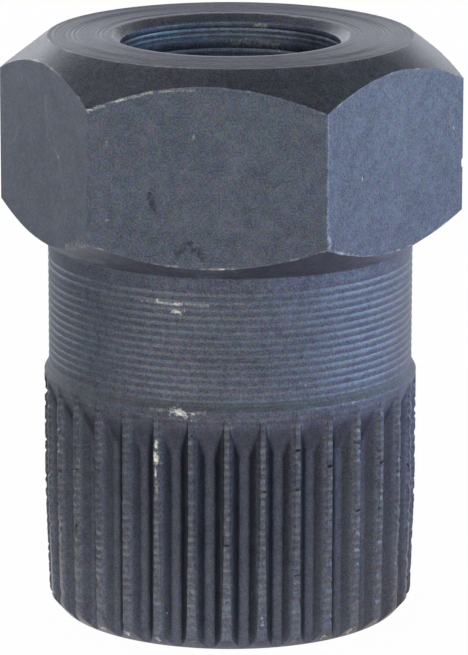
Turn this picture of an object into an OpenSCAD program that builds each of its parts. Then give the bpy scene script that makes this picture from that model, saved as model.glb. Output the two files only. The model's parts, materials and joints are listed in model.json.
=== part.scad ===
/* [Hexagon] */
// Width of the hexagon across its flats
hex_af = 22; // [21:0.1:26]
// Height of the hexagon, from where its underside leaves the neck to the top face
head_h = 11.3; // [7:0.1:30]
// Diameter of the flat turned ring on top of the hexagon
top_face_d = 20; // [14:0.1:20.8]
// Slope of the chamfer that cuts the upper corners, below the top face, in degrees
top_chamfer_angle = 38; // [15:0.5:50]
// Slope of the chamfer that cuts the lower corners, above the horizontal, in degrees
under_chamfer_angle = 35; // [10:0.5:45]

/* [Neck] */
// Diameter of the turned neck between the hexagon and the serration
neck_d = 20; // [17:0.1:20.4]
// Height of the neck above the step
neck_h = 6.8; // [2:0.1:30]
// Height of the sloping step from the neck out to the serration
step_h = 0.5; // [0.2:0.05:2]
// Distance from one turning mark to the next
mark_pitch = 0.41; // [0.3:0.01:1]
// Depth of a turning mark
mark_depth = 0.04; // [0.02:0.01:0.1]
// Smooth height left on the neck under the hexagon
smooth_h = 0.8; // [0.2:0.1:1.5]

/* [Serration] */
// Number of teeth round the serration
teeth = 33; // [24:1:34]
// Diameter over the tips of the teeth
tip_d = 20.5; // [20.3:0.05:20.7]
// Diameter across the floors of the grooves
root_d = 18.95; // [18.8:0.05:19.6]
// Width of the flat floor of a groove
floor_w = 0.44; // [0.2:0.02:0.6]
// Lean of a groove's flanks away from its centre plane, in degrees
flank_angle = 40.5; // [25:0.5:43]
// Height from the end face to where the grooves run out at the surface
groove_h = 13.3; // [8:0.1:40]
// Height over which the floor of a groove climbs out to the surface
runout_h = 2.5; // [1:0.1:5]
// Plain band between the ends of the grooves and the step
band_h = 0.1; // [0.1:0.05:3]
// Height of the slightly tapered lead at the bottom of the teeth
lead_h = 6; // [2:0.1:7]
// Diameter over the tips at the bottom of the lead
lead_d = 20.1; // [19.8:0.05:20.3]
// Height of the chamfer across the ends of the teeth
end_chamfer_h = 0.75; // [0.3:0.05:1.5]
// Diameter of the flat end face
end_face_d = 18.8; // [18:0.05:19.6]

/* [Bore] */
// Diameter of the bore right through
bore_d = 12; // [8:0.1:12.8]
// Diameter of the mouth of the bore at each end
mouth_d = 12.9; // [12.1:0.1:13.9]
// Slope of the mouth's countersink, measured from the axis, in degrees
mouth_angle = 45; // [30:1:60]

/* [Hidden] */

round_fn = 96;
cut_over = 1; // how far a cutter runs past the surface that it opens
steel = [0.36, 0.38, 0.44];

// Heights up the axis, from the serrated end face
band_z = groove_h;
step_z = band_z + band_h;
neck_z = step_z + step_h;
head_z = neck_z + neck_h;
total_h = head_z + head_h;

hex_corner_r = hex_af / 2 / cos(30);
tip_r = tip_d / 2;
root_r = root_d / 2;
neck_r = neck_d / 2;

// Turning marks run from the plain band up to the smooth part of the neck
marks_z = neck_z + mark_pitch / 2;
mark_count = floor((head_z - smooth_h - marks_z) / mark_pitch);

// One turning mark: down from a crest at z into the valley and out to the next crest
function mark_points(z, r) = [
    [r, z],
    [r - mark_depth, z + mark_pitch / 2]
];

// Half outline of the turned blank below the hexagon, before the grooves are cut
function shank_outline() = [
    [0, 0],
    [end_face_d / 2, 0],
    [lead_d / 2, end_chamfer_h],
    [tip_r, end_chamfer_h + lead_h],
    [tip_r, step_z],
    [neck_r, neck_z],
    for (i = [0 : mark_count - 1]) each mark_points(marks_z + i * mark_pitch, neck_r),
    [neck_r, marks_z + mark_count * mark_pitch],
    [neck_r, head_z + cut_over],
    [0, head_z + cut_over]
];

// Half outline of the hexagon's turned envelope, chamfered on both sides
module head_outline() {
    top_r = top_face_d / 2;
    far_r = hex_corner_r + cut_over;
    polygon([
        [0, head_z],
        [neck_r, head_z],
        [far_r, head_z + (far_r - neck_r) * tan(under_chamfer_angle)],
        [far_r, total_h - (far_r - top_r) * tan(top_chamfer_angle)],
        [top_r, total_h],
        [0, total_h]
    ]);
}

module hexagon() {
    intersection() {
        translate([0, 0, head_z - cut_over])
            cylinder(h = head_h + 2 * cut_over, r = hex_corner_r, $fn = 6);
        rotate_extrude($fn = round_fn) head_outline();
    }
}

module turned_shank() {
    rotate_extrude($fn = round_fn) polygon(shank_outline());
}

// Section of one groove, open outwards past the tips, with its floor at root_r
module groove_section() {
    open_r = tip_r + cut_over / 2;
    open_w = floor_w / 2 + (open_r - root_r) * tan(flank_angle);
    polygon([
        [root_r, -floor_w / 2],
        [open_r, -open_w],
        [open_r, open_w],
        [root_r, floor_w / 2]
    ]);
}

// Cone that the groove floors climb on their way out to the surface
module runout_cone() {
    slope = (tip_r - root_r) / runout_h;
    low_z = groove_h - 2 * runout_h;
    high_r = tip_r + cut_over;
    translate([0, 0, low_z])
        cylinder(
            h = 2 * runout_h + cut_over / slope,
            r1 = tip_r - 2 * runout_h * slope,
            r2 = high_r,
            $fn = round_fn
        );
}

// Grooves all round, the first one facing the viewer under the middle of a flat
module grooves() {
    slope = (tip_r - root_r) / runout_h;
    difference() {
        for (i = [0 : teeth - 1])
            rotate([0, 0, -90 + i * 360 / teeth])
                translate([0, 0, -cut_over])
                    linear_extrude(groove_h + cut_over + cut_over / 2 / slope + step_h)
                        groove_section();
        runout_cone();
    }
}

// Bore with a countersunk mouth at each end
module bore() {
    mouth_r = mouth_d / 2;
    bore_r = bore_d / 2;
    sink_h = (mouth_r - bore_r) / tan(mouth_angle);
    rotate_extrude($fn = round_fn)
        polygon([
            [0, -cut_over],
            [mouth_r + cut_over * tan(mouth_angle), -cut_over],
            [bore_r, sink_h],
            [bore_r, total_h - sink_h],
            [mouth_r + cut_over * tan(mouth_angle), total_h + cut_over],
            [0, total_h + cut_over]
        ]);
}

module star_nut() {
    color(steel)
        difference() {
            union() {
                turned_shank();
                hexagon();
            }
            grooves();
            bore();
        }
}

star_nut();
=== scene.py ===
import json
import math
import random

import bpy
from mathutils import Matrix, Vector


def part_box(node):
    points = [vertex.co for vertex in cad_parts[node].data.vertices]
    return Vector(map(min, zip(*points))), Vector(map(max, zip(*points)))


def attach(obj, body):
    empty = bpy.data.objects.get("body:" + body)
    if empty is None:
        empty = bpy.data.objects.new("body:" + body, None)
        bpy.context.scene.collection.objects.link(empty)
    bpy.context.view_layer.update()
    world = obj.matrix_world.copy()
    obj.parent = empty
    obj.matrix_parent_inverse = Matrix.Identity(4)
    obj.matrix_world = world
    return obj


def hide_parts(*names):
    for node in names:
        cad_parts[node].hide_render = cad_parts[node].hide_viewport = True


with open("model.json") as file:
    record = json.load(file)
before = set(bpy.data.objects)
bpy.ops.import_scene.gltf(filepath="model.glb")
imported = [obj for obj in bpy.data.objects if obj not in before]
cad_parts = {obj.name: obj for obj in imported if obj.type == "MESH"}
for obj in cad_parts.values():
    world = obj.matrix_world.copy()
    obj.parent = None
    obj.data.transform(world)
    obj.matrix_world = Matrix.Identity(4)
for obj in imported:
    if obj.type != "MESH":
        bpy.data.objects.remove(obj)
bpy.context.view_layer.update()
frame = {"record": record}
print("frame loaded")

# everything is modelled in millimetres and brought to metres when it is finished
toMetres = 0.001
sameGap = 0.0005  # points closer than this are one
nodeLow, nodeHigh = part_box("star_nut")
mounts = {mount["name"]: mount for mount in frame["record"]["mounts"]}

size = {
    "height": nodeHigh.z / toMetres,
    "acrossFlats": (nodeHigh.y - nodeLow.y) / toMetres,
    "boreRadius": mounts["bore"]["dims"]["r_mm"],
    "boreLength": mounts["bore"]["dims"]["length_mm"],
}


def deselectAll():
    if bpy.context.object and bpy.context.object.mode != "OBJECT":
        bpy.ops.object.mode_set(mode="OBJECT")
    bpy.ops.object.select_all(action="DESELECT")


def pick(piece):
    deselectAll()
    piece.select_set(True)
    bpy.context.view_layer.objects.active = piece


def startEdit(piece, by="VERT"):
    pick(piece)
    bpy.ops.object.mode_set(mode="EDIT")
    bpy.ops.mesh.select_mode(type=by)
    bpy.ops.mesh.select_all(action="DESELECT")


def selectWhere(piece, part, wanted):
    # part is "vertices" or "edges", and wanted says yes or no to each one
    bpy.ops.object.mode_set(mode="OBJECT")
    for one in getattr(piece.data, part):
        one.select = wanted(one)
    bpy.ops.object.mode_set(mode="EDIT")


def applyTurn(piece):
    pick(piece)
    bpy.ops.object.transform_apply(location=True, rotation=True, scale=True)


def tidyNormals(piece):
    startEdit(piece)
    bpy.ops.mesh.select_all(action="SELECT")
    bpy.ops.mesh.remove_doubles(threshold=sameGap)
    bpy.ops.mesh.normals_make_consistent(inside=False)
    bpy.ops.object.mode_set(mode="OBJECT")


def cutWith(piece, tool, operation):
    pick(piece)
    cut = piece.modifiers.new("cut", "BOOLEAN")
    cut.operation = operation
    cut.solver = "EXACT"
    cut.material_mode = "TRANSFER"
    cut.object = tool
    bpy.ops.object.modifier_apply(modifier=cut.name)
    bpy.data.objects.remove(tool)


def joinAll(pieces, name):
    deselectAll()
    for piece in pieces:
        piece.select_set(True)
    bpy.context.view_layer.objects.active = pieces[0]
    bpy.ops.object.join()
    pieces[0].name = name
    return pieces[0]


# the turned blank, as it left the lathe
turned = {
    "seed": 11,
    "steps": 165,  # five round each tooth
    "startTurn": 0.8,  # degrees, keeps the lathe's seams off the hexagon's corners
    "endFaceRadius": 9.4,
    "leadRadius": 10.05,
    "endChamferTop": 0.75,
    "leadTop": 6.75,
    "tipRadius": 10.25,
    "stepLow": 13.4,
    "stepHigh": 13.9,
    "neckRadius": 10.0,
    "headLow": 20.7,
    "underSlope": 35.0,
    "topSlope": 38.0,
    "topRadius": 10.0,
    "stockRadius": 13.6,
    "mouthRadius": 6.45,
    "edge": 0.05,  # how far a sharp turned edge is broken
    "markPitch": 0.4165,
    "firstMark": 14.23,  # height of one crest
    "markDepth": 0.047,
    "markSpread": (0.9, 1.1),  # how unequal the marks are, as shares of their depth
    "markShape": ((0.0, 0.0), (0.29, 0.2), (0.55, 1.0), (0.78, 0.45)),  # shares of the pitch and of the depth
    "marksTop": 19.7,
    "marksFade": 1.2,  # height below which the marks on the teeth are gone
    "marksFadeLength": 3.0,  # height over which they come in above that
    "stepMarks": 0.4,  # share of their depth that the marks keep on the step
    "teethMarks": 0.3,  # and on the teeth
    "stepMargin": 0.1,  # how far below the step a mark still counts as one of the step's
    "underCrease": (0.02, 0.12),  # how far out from the neck the crease under the head starts and ends
    "chamferPitch": 0.3,
    "chamferDepth": 0.02,
    "chamferSpread": (0.3, 1.4),  # how unequal its marks are, as shares of their depth
    "chamferStart": 0.7,  # pitches left outside the first mark
    "chamferRise": 0.6,  # share of the pitch where a mark is deepest
    "facePitch": 0.26,
    "faceDepth": 0.033,
    "faceSpread": (0.6, 1.2),  # how unequal its rings are
    "faceValley": (0.35, 0.7),  # shares of the pitch between which a ring is deepest
    "faceRim": 0.12,  # flat left outside the first ring
    "boreMarks": (0.40, 0.75, 1.05, 1.30, 1.90, 2.25),  # depths of the marks that show, below the top face
    "boreMarkGap": (0.2, 0.45),  # how far apart the others are
    "boreMarkDepth": 0.032,
    "boreSpread": (0.5, 1.2),  # how unequal they are
    "boreMarkSides": (0.11, 0.07),  # above and below where a mark is deepest
    "boreMarkTail": 0.4,  # share of its depth at its lower side
    "boreMarksEnd": 7.0,
}


def bareRadius(z):
    # radius of the shank at one height, without its marks
    t = turned
    if z <= t["leadTop"]:
        share = (z - t["endChamferTop"]) / (t["leadTop"] - t["endChamferTop"])
        return t["leadRadius"] + share * (t["tipRadius"] - t["leadRadius"])
    if z <= t["stepLow"]:
        return t["tipRadius"]
    if z >= t["stepHigh"]:
        return t["neckRadius"]
    share = (z - t["stepLow"]) / (t["stepHigh"] - t["stepLow"])
    return t["tipRadius"] + share * (t["neckRadius"] - t["tipRadius"])


def shankPoints(rolls):
    # the teeth's blank, the step and the neck, with a turning mark at every pitch
    t = turned
    points = []
    first = int((t["endChamferTop"] + t["edge"] - t["firstMark"]) / t["markPitch"])
    last = int((t["headLow"] - t["markPitch"] / 2 - t["firstMark"]) / t["markPitch"])
    stepFrom = t["stepLow"] - t["stepMargin"]
    for mark in range(first, last):
        start = t["firstMark"] + mark * t["markPitch"]
        depth = t["markDepth"] * rolls.uniform(*t["markSpread"])
        depth *= min(1.0, max(0.0, (start - t["marksFade"]) / t["marksFadeLength"]))
        if start <= stepFrom:
            depth *= t["teethMarks"]
        elif start < t["stepHigh"]:
            depth *= t["stepMarks"]
        elif start > t["marksTop"]:
            depth = 0.0
        for along, share in t["markShape"]:
            z = start + along * t["markPitch"]
            points.append((bareRadius(z) - depth * share, z))
    return points


def chamferPoints(rolls):
    # the head's underside, its stock and the chamfer on top, with the marks of the facing cut
    t = turned
    under = math.tan(math.radians(t["underSlope"]))
    over = math.tan(math.radians(t["topSlope"]))
    top = size["height"]
    creaseIn, creaseOut = t["underCrease"]
    points = [
        (t["neckRadius"] + creaseIn, t["headLow"] - t["edge"]),
        (t["neckRadius"] + creaseOut, t["headLow"] + creaseOut * under),
        (t["stockRadius"], t["headLow"] + (t["stockRadius"] - t["neckRadius"]) * under),
        (t["stockRadius"], top - (t["stockRadius"] - t["topRadius"]) * over),
    ]
    rise = t["chamferPitch"] * t["chamferRise"]
    marks = int((t["stockRadius"] - t["topRadius"]) / t["chamferPitch"] - t["chamferStart"])
    for mark in range(marks):
        radius = t["stockRadius"] - (mark + t["chamferStart"]) * t["chamferPitch"]
        level = top - (radius - t["topRadius"]) * over
        depth = t["chamferDepth"] * rolls.uniform(*t["chamferSpread"])
        points.append((radius, level))
        points.append((radius - rise, level + rise * over - depth))
    edge = t["edge"]
    points += [
        (t["topRadius"] + edge, top - edge * over - edge * 0.2),
        (t["topRadius"] - edge * 0.4, top - edge * 0.16),
        (t["topRadius"] - edge * 1.6, top),
    ]
    return points


def facePoints(rolls):
    # the rings on the top face, from its rim inwards
    t = turned
    top = size["height"]
    points = []
    rings = int((t["topRadius"] - t["mouthRadius"] - 2 * t["faceRim"]) / t["facePitch"])
    for ring in range(rings):
        crest = t["topRadius"] - t["faceRim"] - ring * t["facePitch"]
        depth = t["faceDepth"] * rolls.uniform(*t["faceSpread"])
        for share in t["faceValley"]:
            points.append((crest - t["facePitch"] * share, top - depth))
        points.append((crest - t["facePitch"], top))
    return points


def borePoints(rolls):
    # the countersunk mouths and the wall between them, from the top down
    t = turned
    top = size["height"]
    edge = t["edge"]
    mouthDepth = (size["height"] - size["boreLength"]) / 2
    points = [
        (t["mouthRadius"] + edge, top),
        (t["mouthRadius"] - edge * 0.3, top - edge * 0.8),
        (size["boreRadius"] + edge * 0.4, top - mouthDepth + edge * 0.4),
    ]
    marks = [depth for depth in t["boreMarks"] if depth > mouthDepth + edge * 2]
    while marks[-1] < t["boreMarksEnd"]:
        marks.append(marks[-1] + rolls.uniform(*t["boreMarkGap"]))
    above, below = t["boreMarkSides"]
    for mark in marks:
        depth = t["boreMarkDepth"] * rolls.uniform(*t["boreSpread"])
        points.append((size["boreRadius"], top - mark + above))
        points.append((size["boreRadius"] + depth, top - mark))
        points.append((size["boreRadius"] + depth * t["boreMarkTail"], top - mark - below))
    points += [
        (size["boreRadius"], top - marks[-1] - min(t["boreMarkGap"])),
        (size["boreRadius"], mouthDepth),
        (t["mouthRadius"] - edge * 0.3, edge * 0.8),
        (t["mouthRadius"] + edge, 0.0),
    ]
    return points


def blankOutline():
    # radius and height of each point, from the end face up the outside and down the bore
    t = turned
    edge = t["edge"]
    rolls = random.Random(t["seed"])
    points = [
        (t["endFaceRadius"] - edge, 0.0),
        (t["endFaceRadius"] + edge * 0.6, edge),
        (t["leadRadius"] - edge * 0.8, t["endChamferTop"] - edge),
    ]
    return points + shankPoints(rolls) + chamferPoints(rolls) + facePoints(rolls) + borePoints(rolls)


def turnBlank():
    # a small circle is merged to one point, drawn out into the half outline, and spun
    outline = blankOutline()
    firstRadius, firstHeight = outline[0]
    bpy.ops.mesh.primitive_circle_add(vertices=3, radius=0.1, location=(0, 0, 0))
    blank = bpy.context.object
    blank.name = "finishedStarNut"
    startEdit(blank)
    bpy.ops.mesh.select_all(action="SELECT")
    bpy.ops.mesh.merge(type="CENTER")
    bpy.ops.transform.translate(value=(firstRadius, 0, firstHeight))
    for (radius, height), (nextRadius, nextHeight) in zip(outline, outline[1:]):
        move = (nextRadius - radius, 0, nextHeight - height)
        bpy.ops.mesh.extrude_region_move(TRANSFORM_OT_translate={"value": move})
    last = len(outline) - 1
    selectWhere(blank, "vertices", lambda vertex: vertex.index in (0, last))
    bpy.ops.mesh.edge_face_add()
    bpy.ops.mesh.select_all(action="SELECT")
    bpy.ops.mesh.spin(
        steps=turned["steps"], angle=math.tau, center=(0, 0, 0), axis=(0, 0, 1), use_auto_merge=True
    )
    bpy.ops.object.mode_set(mode="OBJECT")
    tidyNormals(blank)
    blank.rotation_euler.z = math.radians(turned["startTurn"])
    applyTurn(blank)
    blank.data.materials.append(bpy.data.materials.new("blackenedSteel"))
    return blank


# the hexagon milled on the blank
hexagon = {
    "edgeWidth": 0.08,  # how far its edges are broken
    "edgeSteps": 2,
    "flatGap": 0.02,  # how far in from a flat a face can be and still be part of it
    "upright": 0.999,  # how level the normal of such a face is at least
}


def millHexagon(blank):
    halfFlats = size["acrossFlats"] / 2
    bpy.ops.mesh.primitive_cylinder_add(
        vertices=6,
        radius=halfFlats / math.cos(math.pi / 6),
        depth=size["height"] * 2,
        location=(0, 0, size["height"] / 2),
        rotation=(0, 0, math.pi / 6),
    )
    gauge = bpy.context.object
    applyTurn(gauge)
    cutWith(blank, gauge, "INTERSECT")

    flatEdges = set()
    for face in blank.data.polygons:
        upright = face.normal.xy.length > hexagon["upright"]
        out = face.center.xy.dot(face.normal.xy) > halfFlats - hexagon["flatGap"]
        if upright and out:
            flatEdges.update(face.edge_keys)
    startEdit(blank, "EDGE")
    selectWhere(blank, "edges", lambda edge: edge.key in flatEdges)
    bpy.ops.mesh.bevel(
        offset=hexagon["edgeWidth"],
        segments=hexagon["edgeSteps"],
        profile=0.5,
        affect="EDGES",
        clamp_overlap=True,
    )
    bpy.ops.object.mode_set(mode="OBJECT")


# the serration shaped into the blank's lower end
serration = {
    "teeth": 33,
    "floorRadius": 9.475,
    "floorWidth": 0.44,
    "flankAngle": 40.5,
    "grooveTop": 13.3,
    "runOut": 2.5,
    "coneSteps": 144,
    "cornerRound": 0.19,
    "cornerTurn": 12,  # degrees, corners of the cutter that turn by more are rounded
    "cornerSteps": 3,
    "clear": 0.5,  # how far a cutter stands out past the tips
    "below": 1.0,  # and past the end face
    "over": 0.3,  # and past the end of its run-out
    "tipLow": 0.9,  # the worn tips start at this height, and end this far below the tops of the grooves
    "tipEnd": 0.4,
    "tipSkin": 0.045,  # how deep they go
    "tipRound": 0.05,
    "tipTurn": 30,  # degrees, edges of the tips that turn by more are rounded
    "tipSteps": 2,
    "burr": 0.05,  # how far the tips are pushed about, and the spacing of the lumps
    "burrSpacing": 0.24,
    "tears": ((0.02, 0.14, 3), (0.04, 0.04, 8)),  # depth, share of the tips and seed of what has broken out
    "tearLean": 0.5,  # how far the tears slant at most, up over along
    "tearBands": 2,  # to each turning mark
    "seedSteps": (97, 13),  # from tooth to tooth and from band to band
}


def makeGrooveCutter():
    # a bar that narrows towards the groove's floor, less the cone that the floors climb as they run out
    s = serration
    openRadius = turned["tipRadius"] + s["clear"]
    depth = openRadius - s["floorRadius"]
    openWidth = s["floorWidth"] + 2 * depth * math.tan(math.radians(s["flankAngle"]))
    slope = (turned["tipRadius"] - s["floorRadius"]) / s["runOut"]
    low = -s["below"]
    high = s["grooveTop"] + s["clear"] / slope + s["over"]
    bpy.ops.mesh.primitive_cube_add(
        size=1,
        location=(0, -(openRadius + s["floorRadius"]) / 2, (high + low) / 2),
        scale=(openWidth, depth, high - low),
    )
    cutter = bpy.context.object
    applyTurn(cutter)
    startEdit(cutter)
    selectWhere(cutter, "vertices", lambda vertex: vertex.co.y > -openRadius + depth / 2)
    bpy.ops.transform.resize(
        value=(s["floorWidth"] / openWidth, 1, 1), center_override=(0, -s["floorRadius"], 0)
    )
    bpy.ops.object.mode_set(mode="OBJECT")

    lowRadius = turned["tipRadius"] - 2 * s["runOut"] * slope
    highRadius = openRadius + s["over"]
    coneHeight = (highRadius - lowRadius) / slope
    bpy.ops.mesh.primitive_cone_add(
        vertices=s["coneSteps"],
        radius1=lowRadius,
        radius2=highRadius,
        depth=coneHeight,
        location=(0, 0, s["grooveTop"] - 2 * s["runOut"] + coneHeight / 2),
    )
    cone = bpy.context.object
    applyTurn(cone)
    cutWith(cutter, cone, "DIFFERENCE")
    startEdit(cutter, "EDGE")
    bpy.ops.mesh.edges_select_sharp(sharpness=math.radians(s["cornerTurn"]))
    bpy.ops.mesh.bevel(
        offset=s["cornerRound"],
        segments=s["cornerSteps"],
        profile=0.5,
        affect="EDGES",
        clamp_overlap=False,
    )
    bpy.ops.object.mode_set(mode="OBJECT")
    return cutter


def shapeSerration(blank):
    first = makeGrooveCutter()
    cutters = [first]
    for tooth in range(1, serration["teeth"]):
        copy = first.copy()
        copy.data = first.data.copy()
        copy.rotation_euler.z = tooth * math.tau / serration["teeth"]
        bpy.context.scene.collection.objects.link(copy)
        cutters.append(copy)
    cutter = joinAll(cutters, "grooveCutter")
    applyTurn(cutter)
    cutWith(blank, cutter, "DIFFERENCE")


def onTip(vertex):
    s = serration
    deep = bareRadius(vertex.co.z) - vertex.co.xy.length
    return s["tipLow"] < vertex.co.z < s["grooveTop"] - s["tipEnd"] and deep < s["tipSkin"]


def breakTipEdges(nut):
    s = serration
    sides = {}
    for face in nut.data.polygons:
        for key in face.edge_keys:
            sides.setdefault(key, []).append(face.normal.copy())

    def isTipEdge(edge):
        first, second = [nut.data.vertices[index] for index in edge.vertices]
        normals = sides[edge.key]
        upright = abs(first.co.z - second.co.z) > (first.co.xy - second.co.xy).length
        sharp = len(normals) == 2 and normals[0].angle(normals[1], 0) > math.radians(s["tipTurn"])
        return upright and sharp and onTip(first) and onTip(second)

    startEdit(nut, "EDGE")
    selectWhere(nut, "edges", isTipEdge)
    bpy.ops.mesh.bevel(
        offset=s["tipRound"], segments=s["tipSteps"], profile=0.5, affect="EDGES", clamp_overlap=True
    )
    bpy.ops.object.mode_set(mode="OBJECT")


def isTorn(vertex, share, seed):
    # each tooth has slanting bands of its own, some of which have broken out
    if not onTip(vertex):
        return False
    s = serration
    byTooth, byBand = s["seedSteps"]
    pitch = math.tau / s["teeth"]
    tooth = round((math.atan2(vertex.co.y, vertex.co.x) + math.pi / 2) / pitch - 0.5)
    toothSeed = seed + tooth * byTooth
    lean = random.Random(toothSeed).uniform(-s["tearLean"], s["tearLean"])
    band = int((vertex.co.z + lean * vertex.co.x) / turned["markPitch"] * s["tearBands"])
    return random.Random(toothSeed + band * byBand).random() < share


def roughenTips(nut):
    # the tips are torn and burred, and here and there a piece has broken out
    startEdit(nut)
    selectWhere(nut, "vertices", onTip)
    bpy.ops.object.vertex_group_add()
    bpy.ops.object.vertex_group_assign()
    bpy.ops.object.mode_set(mode="OBJECT")
    lumps = bpy.data.textures.new("lumps", "CLOUDS")
    lumps.noise_scale = serration["burrSpacing"]
    lumps.cloud_type = "COLOR"
    burr = nut.modifiers.new("burr", "DISPLACE")
    burr.texture = lumps
    burr.texture_coords = "LOCAL"
    burr.direction = "RGB_TO_XYZ"
    burr.strength = serration["burr"]
    burr.vertex_group = nut.vertex_groups[0].name
    pick(nut)
    bpy.ops.object.modifier_apply(modifier=burr.name)

    startEdit(nut)
    for deep, share, seed in serration["tears"]:
        selectWhere(nut, "vertices", lambda vertex: isTorn(vertex, share, seed))
        shrink = 1 - deep / turned["tipRadius"]
        bpy.ops.transform.resize(value=(shrink, shrink, 1), center_override=(0, 0, 0))
    bpy.ops.object.mode_set(mode="OBJECT")


notchLean = 8  # degrees off level

# notches knocked into the tips: turn, height, depth, length round the nut
notches = (
    (-172.0, 12.1, 0.2, 0.6),
    (-173.5, 11.0, 0.28, 0.8),
    (-172.0, 9.3, 0.14, 0.5),
    (-1.5, 10.42, 0.1, 0.5),
    (-139.2, 9.04, 0.1, 0.4),
    (-62.7, 11.2, 0.09, 0.35),
    (-51.8, 10.1, 0.1, 0.35),
    (-40.9, 11.9, 0.12, 0.4),
    (-40.9, 7.3, 0.09, 0.35),
    (-30.0, 9.6, 0.1, 0.35),
)


def cutNotches(nut):
    wedges = []
    for turn, height, deep, length in notches:
        angle = math.radians(turn)
        bpy.ops.mesh.primitive_cube_add(
            size=1,
            location=(math.cos(angle) * turned["tipRadius"], math.sin(angle) * turned["tipRadius"], height),
            rotation=(math.radians(notchLean), math.radians(45), angle),
            scale=(deep * math.sqrt(2), length, deep * math.sqrt(2)),
        )
        wedges.append(bpy.context.object)
    wedge = joinAll(wedges, "wedges")
    applyTurn(wedge)
    cutWith(nut, wedge, "DIFFERENCE")


# the dent that a chip is cut with
chip = {
    "depth": 0.6,  # share of half its width
    "deepest": 0.06,
    "ragged": 0.22,  # how far its rim is pushed about, as a share of its size
    "tool": (1.3, 1.25, 1.6),  # size of the tool along, across and deep, against the chip's own
}

# chips down to bare steel, each a line from one place to another: first the flat it is on, or the radius
# it is at, then along the flat or round the nut, and up, for both ends, and last half its width
chips = (
    # the flats and the right corner
    ("front", -6.4, 29.8, -6.1, 29.87, 0.06),
    ("front", -4.8, 30.34, -4.4, 30.45, 0.045),
    ("front", -2.3, 30.91, -1.9, 30.95, 0.035),
    ("front", -6.5, 22.5, -6.2, 22.42, 0.07),
    ("front", -5.75, 22.25, -5.5, 22.15, 0.07),
    ("front", -3.4, 21.63, -3.1, 21.57, 0.045),
    ("front", 0.6, 21.46, 0.9, 21.46, 0.04),
    ("left", 2.24, 26.65, 2.24, 26.5, 0.045),
    ("right", 5.45, 27.3, 5.45, 27.2, 0.05),
    ("right", -3.16, 26.0, -3.16, 25.85, 0.035),
    (12.66, 0.0, 25.3, 0.0, 25.1, 0.13),
    # the neck, the step and one tip
    (10.0, -100.6, 18.81, -99.0, 18.81, 0.07),
    (10.0, -106.0, 19.23, -103.6, 19.23, 0.04),
    (10.0, -101.0, 19.23, -99.6, 19.23, 0.05),
    (10.25, -103.4, 13.5, -102.4, 13.47, 0.06),
    (10.25, -99.6, 13.42, -97.2, 13.2, 0.2),
    (10.25, -95.2, 13.32, -94.4, 13.34, 0.06),
    (10.25, -106.4, 11.6, -106.4, 11.3, 0.08),
    (10.25, -106.4, 10.9, -106.4, 10.55, 0.13),
    (10.25, -106.4, 10.1, -106.4, 9.7, 0.05),
)
flatTurns = {"front": -90, "left": -150, "right": -30}


def placeOf(where, along, up):
    if where in flatTurns:
        turn = math.radians(flatTurns[where])
        outward = Vector((math.cos(turn), math.sin(turn), 0))
        sideways = Vector((-math.sin(turn), math.cos(turn), 0))
        return outward * size["acrossFlats"] / 2 + sideways * along + Vector((0, 0, up))
    turn = math.radians(along)
    return Vector((math.cos(turn) * where, math.sin(turn) * where, up))


def cutChips(nut):
    dents = []
    longer, wider, deeper = chip["tool"]
    for seed, (where, along, up, nextAlong, nextUp, halfWidth) in enumerate(chips):
        start = placeOf(where, along, up)
        end = placeOf(where, nextAlong, nextUp)
        outward = placeOf(where, (along + nextAlong) / 2, 0).normalized()
        if where in flatTurns:
            outward = placeOf(where, 0, 0).normalized()
        sideways = outward.cross(end - start).normalized()
        onward = sideways.cross(outward)
        deep = min(halfWidth * chip["depth"], chip["deepest"])
        middle = (start + end) / 2 + outward * deep * (deeper - 1)  # so that it cuts just that deep
        turn = Matrix((onward, sideways, outward)).transposed()
        bpy.ops.mesh.primitive_ico_sphere_add(subdivisions=2, radius=1)
        dent = bpy.context.object
        startEdit(dent)
        bpy.ops.mesh.select_all(action="SELECT")
        bpy.ops.transform.vertex_random(offset=chip["ragged"], uniform=1.0, normal=0.0, seed=seed)
        bpy.ops.object.mode_set(mode="OBJECT")
        dent.scale = ((end - start).length / 2 + halfWidth * longer, halfWidth * wider, deep * deeper)
        dent.rotation_euler = turn.to_euler()
        dent.location = middle
        applyTurn(dent)
        dents.append(dent)
    tool = joinAll(dents, "dents")
    tool.data.materials.append(bpy.data.materials.new("chippedSteel"))
    cutWith(nut, tool, "DIFFERENCE")


# how the nut's shading is smoothed
smooth = {
    "angle": 32,  # degrees, edges that turn by more stay sharp
    "weight": 90,  # how strongly the larger faces lead the shading
}


def finishNut(nut):
    pick(nut)
    nut.scale = (toMetres,) * 3
    applyTurn(nut)
    bpy.ops.object.shade_smooth_by_angle(angle=math.radians(smooth["angle"]))
    even = nut.modifiers.new("even", "WEIGHTED_NORMAL")
    even.keep_sharp = True
    even.weight = smooth["weight"]
    bpy.ops.object.modifier_apply(modifier=even.name)


nut = turnBlank()
print("blank turned", len(nut.data.polygons))
millHexagon(nut)
print("hexagon milled", len(nut.data.polygons))
shapeSerration(nut)
print("serration shaped", len(nut.data.polygons))
breakTipEdges(nut)
cutNotches(nut)
cutChips(nut)
roughenTips(nut)
print("wear cut", len(nut.data.polygons))
finishNut(nut)
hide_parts("star_nut")
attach(nut, "root")


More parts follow.
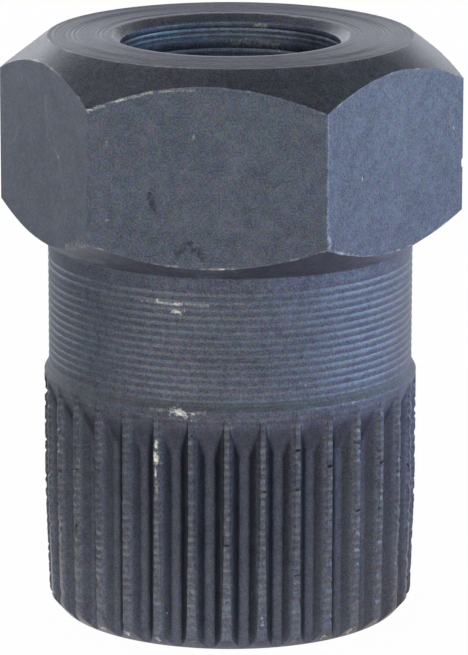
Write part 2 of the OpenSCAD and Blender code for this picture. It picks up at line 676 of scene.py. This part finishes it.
class Wire:
    # one value in a material, which can be written into sums
    def __init__(self, paint, socket):
        self.paint = paint
        self.socket = socket

    def maths(self, operation, first, second):
        return self.paint.node("Math", {"operation": operation}, {0: first, 1: second})

    def __add__(self, other):
        return self.maths("ADD", self, other)

    def __radd__(self, other):
        return self.maths("ADD", other, self)

    def __sub__(self, other):
        return self.maths("SUBTRACT", self, other)

    def __rsub__(self, other):
        return self.maths("SUBTRACT", other, self)

    def __mul__(self, other):
        return self.maths("MULTIPLY", self, other)

    def __rmul__(self, other):
        return self.maths("MULTIPLY", other, self)

    def __truediv__(self, other):
        return self.maths("DIVIDE", self, other)

    def __abs__(self):
        return self.maths("ABSOLUTE", self, 0.0)

    def least(self, other):
        return self.maths("MINIMUM", self, other)

    def most(self, other):
        return self.maths("MAXIMUM", self, other)

    def other(self, name):
        return Wire(self.paint, self.socket.node.outputs[name])


class Paint:
    def __init__(self, owner):
        owner.use_nodes = True
        self.tree = owner.node_tree
        self.tree.nodes.clear()

    def node(self, kind, settings=None, sockets=None, out=0):
        made = self.tree.nodes.new("ShaderNode" + kind)
        for name, value in (settings or {}).items():
            setattr(made, name, value)
        for name, value in (sockets or {}).items():
            if isinstance(value, Wire):
                self.tree.links.new(value.socket, made.inputs[name])
            else:
                made.inputs[name].default_value = value
        if not made.outputs:
            return None
        return Wire(self, made.outputs[out])

    def vector(self, operation, sockets, out=0):
        return self.node("VectorMath", {"operation": operation}, sockets, out)

    def noise(self, place, scale, detail, roughness=0.55):
        sockets = {"Vector": place, "Scale": scale, "Detail": detail, "Roughness": roughness}
        return self.node("TexNoise", {}, sockets)

    def cosine(self, value):
        return self.node("Math", {"operation": "COSINE"}, {0: value})

    def step(self, value, low, high):
        # 0 up to low and 1 from high on, or the mirrored way when low is the greater
        sockets = {"Value": value, "From Min": min(low, high), "From Max": max(low, high)}
        sockets["To Min"] = 0.0 if low < high else 1.0
        sockets["To Max"] = 1.0 if low < high else 0.0
        return self.node("MapRange", {"interpolation_type": "SMOOTHSTEP"}, sockets)

    def blend(self, share, first, second):
        mixed = self.node("Mix", {"data_type": "RGBA"}, {0: share})
        node = mixed.socket.node
        for index, colour in ((6, first), (7, second)):
            if isinstance(colour, Wire):
                self.tree.links.new(colour.socket, node.inputs[index])
            else:
                node.inputs[index].default_value = (*colour, 1)
        return Wire(self, node.outputs[2])


# the black oxide on the steel
oxide = {
    "dark": (0.058, 0.065, 0.086),
    "pale": (0.164, 0.183, 0.233),
    # the dark of soot, which also paints shade in the grooves, between the marks on the tips and in nicks
    "soot": (0.03, 0.032, 0.04),
    # bare steel, which also paints highlights and reflections where they are marked
    "bare": (0.6, 0.6, 0.58),
    "clouds": (0.45, 3.0),  # the three noises in its tone: scale and detail, and roughness where it has one
    "blotches": (1.7, 3.0),
    "grain": (10.0, 2.0, 0.75),
    "tone": (0.35, 0.5, 1.7),  # how strongly each of them shows
    "hue": 0.5,  # how much the hue plays as well, and in which noise
    "hueNoise": (3.6, 3.0, 0.75),
    "hueBright": 2.0,  # brings that noise from 0.5 on average to 1
    "roughness": 0.46,
    "roughSpread": (0.12, 0.2),  # how much the blotches and the grain change that
    "bareSmooth": 0.1,  # how much smoother bare steel is
    "edgeWear": (0.02, 0.1),  # how far in from an edge the oxide is rubbed through, and rubbed at all
    "cornerKept": 0.06,  # how much less the upright edges are
    "wear": (0.02, 0.36),  # how bare the edges are everywhere, and in worn stretches besides
    "wearNoise": (1.1, 4.0, 0.65),  # this noise makes the stretches, between these two levels
    "wearFrom": (0.5, 0.68),
    "speckSpacing": 1.9,  # small bare specks
    "speckRadius": 0.035,
    "speckFade": 1.5,
    "speckShare": 0.45,
    "rubNoise": (4.0, 3.0, 0.6),
    "rubRagged": (0.45, 6.0),  # middle and strength of that noise
    "rubFade": (1.5, 0.4),  # shares of half its width where a rubbed place ends, and where it is whole
    "grainCrests": (0.3, 0.7),
    "rubGrain": (0.2, 1.3),  # how rubbed it is everywhere, and on the crests of the grain besides
}

# how high each thing stands in the fine relief, and how strong and deep the whole of it is
relief = {
    "grain": 1.1,
    "blotches": 0.4,
    "specks": 0.4,  # these are sunk
    "flanks": 2.4,
    "stepLines": 0.5,
    "strength": 0.35,
    "metres": 0.00003,
}

# what is special to the teeth, the step and the bore
places = {
    "teethFade": (0.1, -0.5),  # from above to below the tops of the grooves
    "teethSoot": 0.1,  # how dark the teeth are, with soot and painted shade near the base, and how much more so the flanks of the grooves
    "grooveSoot": 0.5,
    "grooveRim": (10.12, 9.85),  # radii between which a groove starts
    "grooveFloor": (9.62, 9.52),
    "floorKept": 0.3,  # how much less dark the floors are than the flanks
    "flankStretch": (0.35, 0.35, 1.0),
    "flankNoise": (4.5, 3.0, 0.65),
    "tipRim": (10.02, 10.12),
    "beads": 0.08,  # how light the crests of the turning marks are on the tips, worn and a painted highlight, and how dark the rest is, soot and painted shade
    "beadSoot": 0.25,
    "beadWander": 6.0,  # how unevenly the beads follow the marks
    "crestFrom": (-0.5, 0.7),  # between these levels of the marks' wave a crest starts
    "beadPatches": (0.4, 0.7),  # and between these of the blotches the beads come in
    "bore": (1.3, 1.35, 1.5),  # tint of the bore's wall, which brightens and blues it as a painted bluish light, and of the tips
    "tips": (1.02, 1.0, 0.95),
    "boreRim": (6.12, 6.06),
    "stepWear": 0.05,  # how bare the step is, and how much rougher
    "stepRoughness": 0.22,
    "stepReach": (0.35, 0.2),  # how far up and down from its middle it ends
    "stepRim": (9.9, 9.95),
}

# where it is rubbed thin, and where light is painted, given as the chips are, with how bare it is there;
# below 0 it is darkened instead, with soot, and with painted shade where so marked
rubsStainsAndPaintedLight = (
    # the edges and marks of the front flat, the left one and the right one
    ("front", -6.35, 29.78, -5.3, 30.12, 0.1, 0.35),
    ("front", -5.0, 30.27, -2.9, 30.84, 0.08, 0.35),
    ("front", -2.5, 30.9, -0.6, 31.03, 0.07, 0.25),
    ("front", -6.6, 22.52, -5.4, 22.15, 0.16, 0.35),
    ("front", -3.8, 21.68, -1.6, 21.53, 0.09, 0.25),
    ("front", 0.2, 21.47, 1.4, 21.48, 0.08, 0.25),
    ("front", -0.73, 28.6, -0.73, 28.4, 0.07, 0.3),
    ("front", -5.3, 28.2, -5.3, 28.0, 0.08, 0.3),
    ("front", -5.27, 24.1, -5.27, 23.9, 0.07, 0.25),
    ("front", -3.05, 25.5, -2.8, 24.6, 0.2, -0.65),
    ("front", -1.05, 22.8, -1.45, 22.25, 0.18, -0.5),
    ("front", -1.0, 22.8, -0.25, 22.05, 0.2, -0.6),
    ("left", 0.45, 29.4, 0.75, 27.4, 0.12, 0.08),
    ("left", 0.8, 27.3, 2.2, 26.6, 0.1, 0.08),
    ("left", 2.4, 26.4, 3.4, 23.6, 0.12, 0.08),
    ("left", -4.4, 26.2, -2.7, 27.8, 0.14, 0.06),
    ("left", 3.4, 21.9, 6.0, 22.5, 0.22, 0.22),
    ("right", -6.3, 23.2, -6.3, 29.9, 0.1, 0.14),
    ("right", -6.2, 23.4, -6.0, 22.8, 0.15, 0.3),
    ("right", -5.6, 22.43, -2.9, 21.62, 0.08, 0.2),
    ("right", -5.5, 22.4, -4.7, 22.15, 0.1, 0.3),
    # under the head, where the light band on the left is a painted reflection of the white table, and the
    # neck
    (10.6, -168.0, 21.1, -146.0, 21.1, 0.4, 0.16),
    (10.6, -146.0, 21.1, -124.0, 21.15, 0.4, 0.16),
    (10.0, -112.0, 19.23, -107.0, 19.23, 0.07, 0.25),
    (10.0, -106.6, 19.23, -98.8, 19.23, 0.1, 0.75),
    (10.0, -97.0, 19.23, -90.5, 19.23, 0.08, 0.3),
    (10.0, -101.2, 18.81, -98.4, 18.81, 0.12, 0.95),
    # the step, and two tips
    (10.25, -108.4, 13.45, -102.0, 13.45, 0.1, 0.3),
    (10.25, -101.0, 13.5, -96.6, 13.22, 0.26, 0.8),
    (10.25, -96.0, 13.35, -91.0, 13.45, 0.08, 0.25),
    (10.25, -59.0, 13.43, -51.5, 13.37, 0.06, 0.12),
    (10.25, -48.8, 13.42, -41.0, 13.37, 0.06, 0.2),
    (10.2, -106.4, 11.6, -106.4, 11.3, 0.14, 0.5),
    (10.2, -106.4, 10.95, -106.4, 10.5, 0.18, 0.8),
    (10.2, -106.4, 10.2, -106.4, 8.8, 0.08, 0.3),
    (10.1, -73.6, 1.9, -73.6, 1.4, 0.1, 0.3),
    # the chamfer across the ends of the teeth, lighter where worn and as a painted reflection of the white
    # table
    (9.7, -150.0, 0.2, -148.0, 0.4, 0.14, 0.3),
    (9.75, -129.4, 0.25, -128.2, 0.5, 0.16, 0.5),
    (9.75, -118.4, 0.3, -117.3, 0.6, 0.16, 0.5),
    (9.75, -107.0, 0.3, -106.4, 0.6, 0.16, 0.35),
    (9.75, -95.8, 0.3, -95.4, 0.6, 0.16, 0.15),
    (9.75, -62.7, 0.3, -62.7, 0.6, 0.16, 0.15),
    (9.75, -51.8, 0.3, -51.8, 0.6, 0.18, 0.4),
    (9.75, -41.5, 0.25, -40.9, 0.6, 0.18, 0.5),
    (9.75, -30.0, 0.3, -29.0, 0.6, 0.16, 0.4),
    # dark marks on the tips, painted shade of nicks
    (10.2, -150.8, 8.53, -147.0, 8.68, 0.12, -0.95),
    (10.2, -150.0, 8.2, -150.0, 6.4, 0.09, -0.9),
    (10.2, -140.0, 9.07, -137.5, 9.13, 0.11, -0.95),
    (10.2, -139.0, 5.9, -138.8, 5.4, 0.11, -0.9),
    (10.2, -43.1, 11.26, -40.0, 10.95, 0.08, -0.9),
    (10.2, -31.0, 10.27, -28.5, 10.13, 0.08, -0.9),
    (10.2, -31.0, 8.36, -28.0, 8.33, 0.07, -0.9),
    (10.2, -31.0, 7.01, -28.5, 6.87, 0.08, -0.8),
    (10.2, -11.6, 8.61, -6.0, 8.46, 0.1, -0.9),
    (10.2, -22.4, 8.8, -19.4, 8.63, 0.08, -0.7),
    # the mouth, darkened, and the wall of the bore, whose light streaks are painted highlights
    (6.22, 166.0, 31.78, 186.0, 31.78, 0.36, -0.8),
    (6.22, 186.0, 31.78, 206.0, 31.78, 0.36, -0.8),
    (6.0, 93.5, 30.4, 69.0, 30.32, 0.2, 0.4),
    (6.0, 83.2, 31.4, 76.8, 31.4, 0.09, 0.8),
    (6.0, 137.6, 31.55, 126.0, 31.5, 0.08, 0.2),
)


def edgeMask(paint, x, y, z, radius):
    # 1 at the edges of the hexagon and of the top face, and 0 away from them
    halfFlats = size["acrossFlats"] / 2
    over = math.radians(turned["topSlope"])
    under = math.radians(turned["underSlope"])
    toFront = abs(y)
    slanting = abs(x) * math.cos(math.pi / 6)
    toSide = slanting + toFront * 0.5
    toFar = slanting - toFront * 0.5
    flatGap = halfFlats - toFront.most(toSide)
    cornerGap = halfFlats - toFar.most(toFront.least(toSide))
    topGap = (size["height"] - z) * math.cos(over) - (radius - turned["topRadius"]) * math.sin(over)
    lowGap = (z - turned["headLow"]) * math.cos(under) - (radius - turned["neckRadius"]) * math.sin(under)
    gap = (cornerGap + oxide["cornerKept"]).least(flatGap.most(topGap)).least(flatGap.most(lowGap))
    faceGap = abs(radius - turned["topRadius"]) + (size["height"] - z)
    mouthGap = abs(radius - turned["mouthRadius"]) + (size["height"] - z)
    through, rubbed = oxide["edgeWear"]
    return paint.step(gap.least(faceGap).least(mouthGap), rubbed, through)


def rubMask(paint, place, ragged, rub):
    where, along, up, nextAlong, nextUp, halfWidth, share = rub
    start = placeOf(where, along, up)
    run = placeOf(where, nextAlong, nextUp) - start
    fromStart = paint.vector("SUBTRACT", {0: place, 1: start})
    part = paint.vector("DOT_PRODUCT", {0: fromStart, 1: run / run.length_squared}, "Value")
    part = part.most(0.0).least(1.0)
    nearest = paint.vector("SCALE", {0: run, "Scale": part})
    gap = paint.vector("DISTANCE", {0: fromStart, 1: nearest}, "Value")
    ends, whole = oxide["rubFade"]
    return paint.step(gap + ragged * halfWidth, halfWidth * ends, halfWidth * whole) * abs(share)


def paintRubsAndPaintedLight(paint, place, grain, body):
    # the rubs and the stains, with the painted light and painted shade among them, each kind as one mask
    middle, strength = oxide["rubRagged"]
    ragged = (paint.noise(place, *oxide["rubNoise"]) - middle) * strength
    masks = {True: None, False: None}
    for rub in rubsStainsAndPaintedLight:
        mask = rubMask(paint, place, ragged, rub)
        isRubbed = rub[-1] > 0
        masks[isRubbed] = mask if masks[isRubbed] is None else masks[isRubbed].most(mask)
    everywhere, onCrests = oxide["rubGrain"]
    rubbed = masks[True] * (everywhere + paint.step(grain, *oxide["grainCrests"]) * onCrests)
    return paint.blend(masks[False], paint.blend(rubbed, body, oxide["bare"]), oxide["soot"])


def oxideBody(paint, place, blotches, grain):
    o = oxide
    clouds = paint.noise(place, *o["clouds"])
    inClouds, inBlotches, inGrain = o["tone"]
    tone = 0.5 + (clouds - 0.5) * inClouds + (blotches - 0.5) * inBlotches + (grain - 0.5) * inGrain
    body = paint.blend(paint.step(tone, 0.0, 1.0), o["dark"], o["pale"])
    colours = paint.noise(place, *o["hueNoise"]).other("Color")
    hue = paint.vector("SCALE", {0: colours, "Scale": o["hueBright"]})
    return paint.vector("MULTIPLY", {0: body, 1: paint.blend(o["hue"], (1, 1, 1), hue)})


def paintBeads(paint, blotches, onTips, turnsUp, body):
    # the crests of the turning marks on the tips are lightened, worn and a painted highlight, and between
    # them it is darkened, with soot and painted shade
    p = places
    crest = paint.step(paint.cosine(turnsUp), *p["crestFrom"])
    crestShare = crest * paint.step(blotches, *p["beadPatches"])
    body = paint.blend(onTips * (1 - crest) * p["beadSoot"], body, oxide["soot"])
    return paint.blend(onTips * crestShare * p["beads"], body, oxide["bare"])


def paintWear(paint, place, edges, specks, body):
    o = oxide
    everywhere, besides = o["wear"]
    wornAway = paint.step(paint.noise(place, *o["wearNoise"]), *o["wearFrom"])
    body = paint.blend(edges * (everywhere + wornAway * besides), body, o["bare"])
    return paint.blend(specks * o["speckShare"], body, o["bare"])


def paintSteel(name, bareShare=0.0):
    o = oxide
    p = places
    r = relief
    paint = Paint(bpy.data.materials[name])
    place = paint.vector("SCALE", {0: paint.node("TexCoord", out="Object"), "Scale": 1 / toMetres})
    x = paint.node("SeparateXYZ", {}, {0: place}, "X")
    y = x.other("Y")
    z = x.other("Z")
    radius = paint.vector("LENGTH", {0: paint.node("CombineXYZ", {}, {"X": x, "Y": y})}, "Value")
    blotches = paint.noise(place, *o["blotches"])
    grain = paint.noise(place, *o["grain"])
    body = oxideBody(paint, place, blotches, grain)

    # the teeth are darker, with soot and with painted shade in the recesses of the grooves, and the flanks of
    # the grooves darker still than the tips and the floors
    onTeeth = paint.step(z, *(serration["grooveTop"] + reach for reach in p["teethFade"]))
    inGroove = paint.step(radius, *p["grooveRim"])
    inGroove = inGroove * (1 - p["floorKept"] * paint.step(radius, *p["grooveFloor"])) * onTeeth
    body = paint.blend(onTeeth * p["teethSoot"] + inGroove * p["grooveSoot"], body, o["soot"])

    onTips = onTeeth * paint.step(radius, *p["tipRim"])
    turnsUp = (z - turned["firstMark"]) * (math.tau / turned["markPitch"])
    turnsUp = turnsUp + (grain - 0.5) * p["beadWander"]
    body = paintBeads(paint, blotches, onTips, turnsUp, body)

    # the bore's wall is brightened and blued as a painted bluish light, the tips have a tint of their own,
    # and the step is worn
    for mask, tint in ((paint.step(radius, *p["boreRim"]), p["bore"]), (onTips, p["tips"])):
        body = paint.vector("MULTIPLY", {0: body, 1: paint.blend(mask, (1, 1, 1), tint)})
    stepMiddle = (turned["stepLow"] + turned["stepHigh"]) / 2
    onStep = paint.step(abs(z - stepMiddle), *p["stepReach"]) * paint.step(radius, *p["stepRim"])
    body = paint.blend(onStep * p["stepWear"], body, o["bare"])

    cells = paint.node("TexVoronoi", {}, {"Vector": place, "Scale": 1 / o["speckSpacing"]}, "Distance")
    specks = paint.step(cells * o["speckSpacing"], o["speckRadius"] * o["speckFade"], o["speckRadius"])
    body = paintWear(paint, place, edgeMask(paint, x, y, z, radius), specks, body)
    if bareShare:
        body = paint.blend(bareShare, body, o["bare"])
    else:
        body = paintRubsAndPaintedLight(paint, place, grain, body)

    byBlotches, byGrain = o["roughSpread"]
    roughness = o["roughness"] + (blotches - 0.5) * byBlotches + (grain - 0.5) * byGrain
    roughness = roughness - bareShare * o["bareSmooth"] + onStep * p["stepRoughness"]
    streaks = paint.noise(paint.vector("MULTIPLY", {0: place, 1: p["flankStretch"]}), *p["flankNoise"])
    stepLines = paint.cosine(turnsUp * 2.0) * onStep
    height = grain * r["grain"] + blotches * r["blotches"] - specks * r["specks"]
    height = height + streaks * inGroove * r["flanks"] + stepLines * r["stepLines"]
    bump = paint.node("Bump", {}, {"Strength": r["strength"], "Distance": r["metres"], "Height": height})
    shader = paint.node(
        "BsdfPrincipled", {}, {"Base Color": body, "Metallic": 1.0, "Roughness": roughness, "Normal": bump}
    )
    paint.node("OutputMaterial", {}, {"Surface": shader})


paintSteel("blackenedSteel")
paintSteel("chippedSteel", bareShare=0.9)
print("painted")


# the camera stands a little to the right of the front flat and looks down on the nut
cameraView = {
    "azimuth": 6.43,  # degrees round the nut, from the front flat towards the right
    "distance": 260.1,  # from the nut's axis, level
    "height": 80.0,
    "pitch": 13.91,  # degrees down
    "yaw": 0.046,
    "roll": 0.08,
    "lens": 267.2,
    "sensor": 36.0,
    "clip": (0.01, 20),  # metres between which it sees
}


def setCamera():
    v = cameraView
    turn = Matrix.Rotation(math.radians(v["azimuth"]), 3, "Z")
    place = turn @ Vector((0, -v["distance"], v["height"])) * toMetres
    pitch = math.radians(v["pitch"])
    yaw = math.radians(v["yaw"])
    roll = math.radians(v["roll"])
    forward = Vector((math.sin(yaw) * math.cos(pitch), math.cos(yaw) * math.cos(pitch), -math.sin(pitch)))
    right = Vector((math.cos(yaw), -math.sin(yaw), 0))
    up = right.cross(forward)
    rolledRight = math.cos(roll) * right + math.sin(roll) * up
    rolledUp = math.cos(roll) * up - math.sin(roll) * right
    axes = Matrix((turn @ rolledRight, turn @ rolledUp, turn @ -forward)).transposed()
    lensData = bpy.data.cameras.new("photoCamera")
    lensData.lens = v["lens"]
    lensData.sensor_width = v["sensor"]
    lensData.clip_start, lensData.clip_end = v["clip"]
    camera = bpy.data.objects.new("photoCamera", lensData)
    camera.matrix_world = Matrix.Translation(place) @ axes.to_4x4()
    bpy.context.scene.collection.objects.link(camera)
    bpy.context.scene.camera = camera


lampDistance = 0.5  # metres from the place on the nut's axis that they aim at
lampAim = 0.016
lampPower = 4  # watts, for a brightness of 1 over a square metre

# soft lamps round the nut: azimuth counted from the camera's side, to the right, elevation, width and
# height in metres, and brightness
lamps = {
    "front": (0, 9, 0.4, 0.16, (2.0, 2.1, 1.8)),
    "frontRight": (45, 9, 0.4, 0.16, (1.7, 2.0, 2.1)),
    "window": (90, 9, 0.4, 0.16, (3.1, 4.0, 4.6)),
    "backRight": (135, 7, 0.4, 0.16, (1.8, 1.7, 1.65)),
    "backLow": (174, 12, 0.4, 0.12, (1.62, 1.66, 1.76)),
    "backTop": (180, 50, 0.4, 0.2, (1.5, 1.4, 1.35)),
    "backLeft": (225, 12, 0.4, 0.22, (2.1, 2.1, 2.05)),
    "backLeftHigh": (203, 18, 0.2, 0.16, (1.5, 1.45, 1.4)),
    "backRightHigh": (157, 18, 0.2, 0.16, (0.6, 0.6, 0.6)),
    "overLeft": (262, 68, 0.3, 0.3, (0.22, 0.2, 0.2)),
    "left": (270, 9, 0.4, 0.16, (0.65, 0.65, 0.65)),
    "frontLeft": (315, 11, 0.4, 0.2, (2.1, 2.05, 1.8)),
}


def addLamp(name, azimuth, elevation, width, height, brightness):
    angle = math.radians(azimuth + cameraView["azimuth"])
    lift = math.radians(elevation)
    towards = Vector((math.sin(angle) * math.cos(lift), -math.cos(angle) * math.cos(lift), math.sin(lift)))
    strongest = max(brightness)
    lampData = bpy.data.lights.new(name, "AREA")
    lampData.shape = "RECTANGLE"
    lampData.size = width
    lampData.size_y = height
    lampData.energy = strongest * width * height * lampPower
    lampData.color = [part / strongest for part in brightness]
    placed = bpy.data.objects.new(name, lampData)
    placed.location = Vector((0, 0, lampAim)) + towards * lampDistance
    placed.rotation_euler = towards.to_track_quat("Z", "Y").to_euler()
    placed.visible_camera = False
    bpy.context.scene.collection.objects.link(placed)


# how bright the room is, as the nut sees it: overhead and round about
room = {
    "overhead": (0.19, 0.19, 0.19),
    "level": (0.05, 0.05, 0.05),
    "turns": (0.35, 0.65),  # how far up the one turns into the other
}


def setWorld():
    world = bpy.data.worlds.new("studio")
    bpy.context.scene.world = world
    paint = Paint(world)
    direction = paint.node("TexCoord", out="Generated")
    up = paint.node("SeparateXYZ", {}, {0: direction}, out="Z")
    light = paint.blend(paint.step(up, *room["turns"]), room["level"], room["overhead"])
    seen = paint.node("LightPath", out="Is Camera Ray")
    shader = paint.node("Background", {}, {"Color": paint.blend(seen, light, (1, 1, 1))})
    paint.node("OutputWorld", {}, {"Surface": shader})


# the white table as the nut's metal sees it, whose glow is painted light and painted shade, round the nut by
# quarters: near it, further out and far away
table = {
    "size": 6,  # metres
    "matte": (0.85, 0.85, 0.85, 1),
    "seen": 0.98,  # how far its glow covers the matte white for the camera and in the metal
    "front": ((1.35, 1.3, 1.35), (0.77, 0.65, 0.73), (0.3, 0.35, 0.45)),
    "right": ((1.0, 0.82, 0.73), (1.0, 1.0, 1.45), (0.79, 0.83, 1.06)),
    "back": ((0.9, 1.0, 1.1), (0.5, 0.55, 0.5), (0.8, 0.84, 0.88)),
    "left": ((1.45, 1.37, 1.33), (0.54, 0.56, 0.58), (0.33, 0.35, 0.39)),
    "nearEnds": (0.016, 0.03),  # metres from the nut's axis
    "farStarts": (0.05, 0.085),
}


def layTable():
    bpy.ops.mesh.primitive_plane_add(size=table["size"], location=(0, 0, 0))
    floor = bpy.context.object
    floor.name = "floor"
    white = bpy.data.materials.new("whiteTable")
    paint = Paint(white)
    place = paint.node("TexCoord", out="Object")
    radius = paint.vector("LENGTH", {0: place}, "Value")
    glow = None
    for quarter, side in enumerate(("front", "right", "back", "left")):
        near, further, far = table[side]
        turn = math.radians(cameraView["azimuth"] + quarter * 90)
        towards = Vector((math.sin(turn), -math.cos(turn), 0))
        share = (paint.vector("DOT_PRODUCT", {0: place, 1: towards}, "Value") / radius).most(0.0)
        colour = paint.blend(paint.step(radius, *table["nearEnds"]), near, further)
        colour = paint.blend(paint.step(radius, *table["farStarts"]), colour, far)
        part = paint.vector("SCALE", {0: colour, "Scale": share * share})
        glow = part if glow is None else paint.vector("ADD", {0: glow, 1: part})
    path = paint.node("LightPath", out="Is Camera Ray")
    seen = path.most(path.other("Is Glossy Ray"))
    matte = paint.node("BsdfDiffuse", {}, {"Color": table["matte"]})
    bright = paint.node("Emission", {}, {"Color": paint.blend(path, glow, (1, 1, 1))})
    mixed = paint.node("MixShader", {}, {0: seen * table["seen"], 1: matte, 2: bright})
    paint.node("OutputMaterial", {}, {"Surface": mixed})
    floor.data.materials.append(white)


setCamera()
setWorld()
layTable()
for name, lamp in lamps.items():
    addLamp(name, *lamp)
bpy.context.scene.view_settings.view_transform = "Standard"
print("lit")
